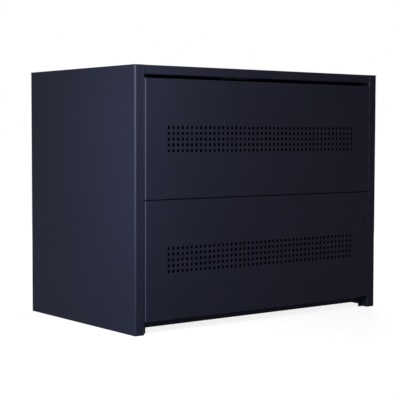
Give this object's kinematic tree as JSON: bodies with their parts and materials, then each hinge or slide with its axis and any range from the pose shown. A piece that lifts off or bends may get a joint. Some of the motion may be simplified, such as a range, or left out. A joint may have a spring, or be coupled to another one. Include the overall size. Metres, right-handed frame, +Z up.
{
  "type": "battery cabinet",
  "caption": "Low free-standing two-tier sheet-steel battery cabinet with corner posts, perforated pull-off front covers, vented screwed back and an isolating breaker inside.",
  "frame": {"origin": "on the floor under the middle of the cabinet's bounding box", "axes": "+X to the right seen from the front, along the width; -Y the front; +Z up"},
  "size_m": [0.88, 0.545, 0.7],
  "materials": {
    "powder_coat": "fine-textured satin dark blue-black powder coat on folded steel",
    "zinc_plated_steel": "bright zinc plate",
    "spring_steel": "hardened and blued spring strip",
    "brass": "plain turned brass",
    "rubber": "matt black rubber",
    "breaker_plastic": "light grey moulded thermoplastic",
    "lever_plastic": "black moulded thermoplastic"
  },
  "bodies": {
    "cabinet": {"left_side_panel": "powder_coat", "right_side_panel": "powder_coat", "top_cover": "powder_coat", "left_lid_angle": "powder_coat", "right_lid_angle": "powder_coat", "base_pan": "powder_coat", "base_stiffeners": "powder_coat", "rear_panel": "powder_coat", "cross_rail": "powder_coat", "left_shelf_bracket": "powder_coat", "right_shelf_bracket": "powder_coat", "battery_shelf": "powder_coat", "shelf_stiffeners": "powder_coat", "rear_panel_screws": "zinc_plated_steel", "breaker_bracket": "zinc_plated_steel", "breaker_bracket_screws": "zinc_plated_steel", "din_rail": "zinc_plated_steel", "breaker_lever_axle": "zinc_plated_steel", "catch_clips": "spring_steel", "breaker_terminal_screws": "brass", "earth_stud": "brass", "earth_nut": "brass", "cable_grommets": "rubber", "lower_bay_mat": "rubber", "upper_bay_mat": "rubber", "cover_pads": "rubber", "breaker_body": "breaker_plastic"},
    "upper_cover": {"upper_front_cover": "powder_coat", "upper_cover_stiffeners": "powder_coat", "upper_cover_tongues": "zinc_plated_steel"},
    "lower_cover": {"lower_front_cover": "powder_coat", "lower_cover_stiffeners": "powder_coat", "lower_cover_tongues": "zinc_plated_steel"},
    "lever": {"breaker_lever": "lever_plastic"}
  },
  "joints": [
    {"name": "upper_cover_pull", "type": "slide", "parent": "cabinet", "child": "upper_cover", "axis": [0, -1, 0], "range_m": [0, 0.4]},
    {"name": "lower_cover_pull", "type": "slide", "parent": "cabinet", "child": "lower_cover", "axis": [0, -1, 0], "range_m": [0, 0.4]},
    {"name": "breaker_lever_tilt", "type": "hinge", "parent": "cabinet", "child": "lever", "pos_m": [0.364, -0.228, 0.596], "axis": [-1, 0, 0], "range_deg": [0, 80]}
  ]
}
